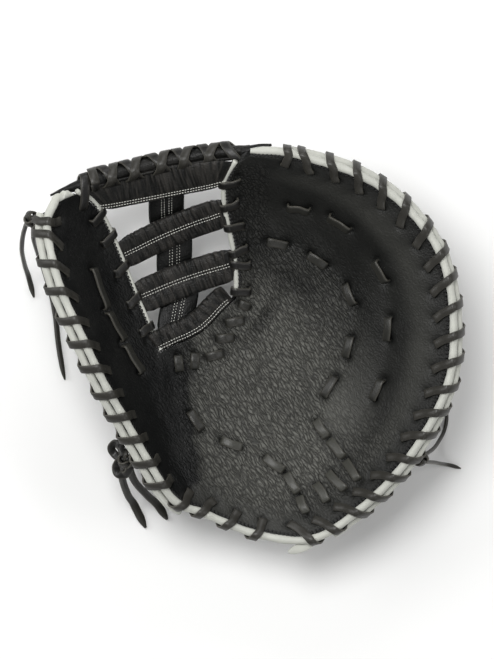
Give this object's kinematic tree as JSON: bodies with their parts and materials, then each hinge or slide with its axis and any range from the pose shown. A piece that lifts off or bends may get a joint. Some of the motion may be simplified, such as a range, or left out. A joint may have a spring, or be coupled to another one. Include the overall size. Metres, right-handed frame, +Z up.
{
  "type": "first baseman mitt",
  "caption": "Black leather first baseman mitt for the left hand, lying palm up, with light grey rolled binding, whip laced rim and a barred web.",
  "frame": {"origin": "on the flattened resting patch of the finger back, on the surface that the mitt lies on", "axes": "+Z up, out of the palm; +X from the thumb side to the finger side; +Y from the heel to the web"},
  "size_m": [0.3261, 0.3031, 0.1317],
  "materials": {
    "palm_leather": "matt grained",
    "shell_leather": "semi matt",
    "binding_leather": "smooth semi matt",
    "lace_leather": "smooth waxed"
  },
  "bodies": {
    "root": {"palm_shell": "palm_leather", "finger_back_shell": "shell_leather", "thumb_back_shell": "shell_leather", "wrist_strap": "shell_leather", "palm_binding": "binding_leather", "finger_back_binding": "binding_leather", "thumb_back_binding": "binding_leather", "web_finger_binding": "binding_leather", "web_thumb_binding": "binding_leather", "binding_end": "binding_leather", "web_top_bar": "shell_leather", "web_bar_upper": "shell_leather", "web_bar_lower": "shell_leather", "web_bar_bottom": "shell_leather", "web_post": "shell_leather", "web_top_roll": "shell_leather", "web_top_lace": "lace_leather", "thumb_top_tie": "lace_leather", "finger_top_tie": "lace_leather", "finger_edge_lace": "lace_leather", "thumb_edge_lace": "lace_leather", "web_finger_lace": "lace_leather", "web_thumb_lace": "lace_leather", "finger_pad_outer_stitch_1": "lace_leather", "finger_pad_outer_stitch_2": "lace_leather", "finger_pad_outer_stitch_3": "lace_leather", "finger_pad_outer_stitch_4": "lace_leather", "finger_pad_outer_stitch_5": "lace_leather", "finger_pad_inner_stitch_1": "lace_leather", "finger_pad_inner_stitch_2": "lace_leather", "finger_pad_inner_stitch_3": "lace_leather", "finger_pad_inner_stitch_4": "lace_leather", "finger_pad_inner_stitch_5": "lace_leather", "thumb_pad_lace": "lace_leather", "thumb_base_stitch": "lace_leather", "crotch_stitch_1": "lace_leather", "crotch_stitch_2": "lace_leather", "crotch_stitch_3": "lace_leather", "crotch_stitch_4": "lace_leather", "crotch_stitch_5": "lace_leather", "crotch_stitch_6": "lace_leather", "palm_stitch": "lace_leather", "heel_lace_long": "lace_leather", "heel_lace_middle": "lace_leather", "heel_lace_side": "lace_leather", "heel_lace_short": "lace_leather", "thumb_tip_knot": "lace_leather", "thumb_heel_knot": "lace_leather", "little_finger_knot": "lace_leather", "thumb_tip_tail": "lace_leather", "thumb_tip_tail_short": "lace_leather", "thumb_heel_tail_outer": "lace_leather", "thumb_heel_tail_inner": "lace_leather", "little_finger_tail_upper": "lace_leather", "little_finger_tail_lower": "lace_leather"}
  },
  "joints": []
}
